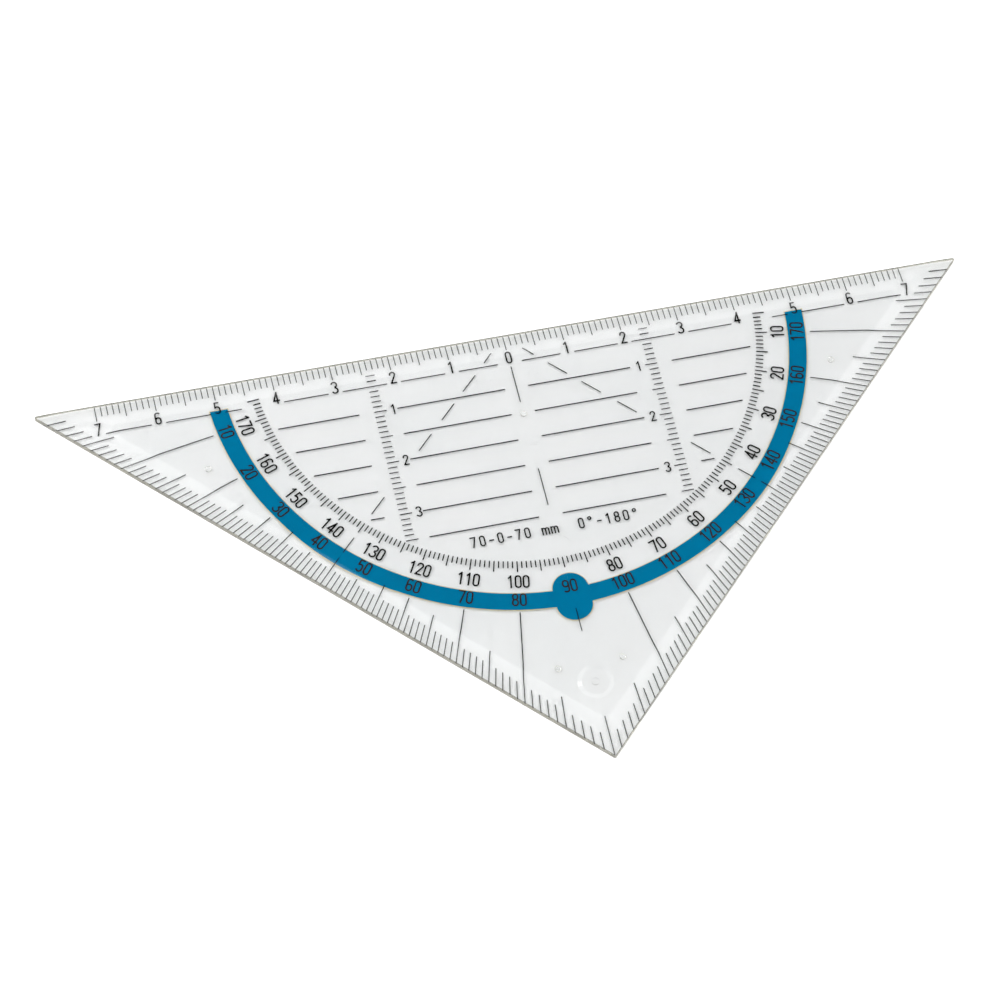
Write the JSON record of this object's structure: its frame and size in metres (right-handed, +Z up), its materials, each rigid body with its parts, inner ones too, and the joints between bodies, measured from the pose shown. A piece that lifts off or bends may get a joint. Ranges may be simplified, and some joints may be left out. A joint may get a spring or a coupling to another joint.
{
  "type": "set-square protractor",
  "caption": "Clear plastic right-angled set square with bevelled edges, a ruling scale, a protractor on a blue band, parallel lines and height scales printed on its underside.",
  "frame": {"origin": "middle of the triangle's bounding box, on the plane that the feet stand on", "axes": "+Z up out of the printed face's far side, which is the top; +X along the ruling edge to the right as its numbers are read; +Y towards the ruling edge"},
  "size_m": [0.16, 0.0802, 0.0023],
  "materials": {
    "clear_plastic": "clear polished acrylic, gloss",
    "blue_ink": "opaque printed ink film, seen through the plate",
    "cream_ink": "opaque printed ink film, seen through the plate as a thin rim",
    "black_ink": "opaque printed ink film, seen through the plate"
  },
  "bodies": {
    "root": {"blue_degree_band": "blue_ink", "centre_line": "black_ink", "clear_plate": "clear_plastic", "cream_band_backing": "cream_ink", "inner_degree_numbers": "black_ink", "left_diagonal": "black_ink", "left_height_numbers": "black_ink", "left_height_scale": "black_ink", "left_leg_degree_ticks": "black_ink", "left_leg_five_degree_ticks": "black_ink", "left_leg_ten_degree_lines": "black_ink", "left_parallel_lines": "black_ink", "outer_degree_numbers": "black_ink", "range_marking": "black_ink", "right_diagonal": "black_ink", "right_height_numbers": "black_ink", "right_height_scale": "black_ink", "right_leg_degree_ticks": "black_ink", "right_leg_five_degree_ticks": "black_ink", "right_leg_ten_degree_lines": "black_ink", "right_parallel_lines": "black_ink", "ring_degree_ticks": "black_ink", "ring_five_degree_ticks": "black_ink", "ring_ten_degree_ticks": "black_ink", "ruler_base_line": "black_ink", "ruler_centimetre_ticks": "black_ink", "ruler_half_centimetre_ticks": "black_ink", "ruler_millimetre_ticks": "black_ink", "ruler_numbers": "black_ink"}
  },
  "joints": []
}
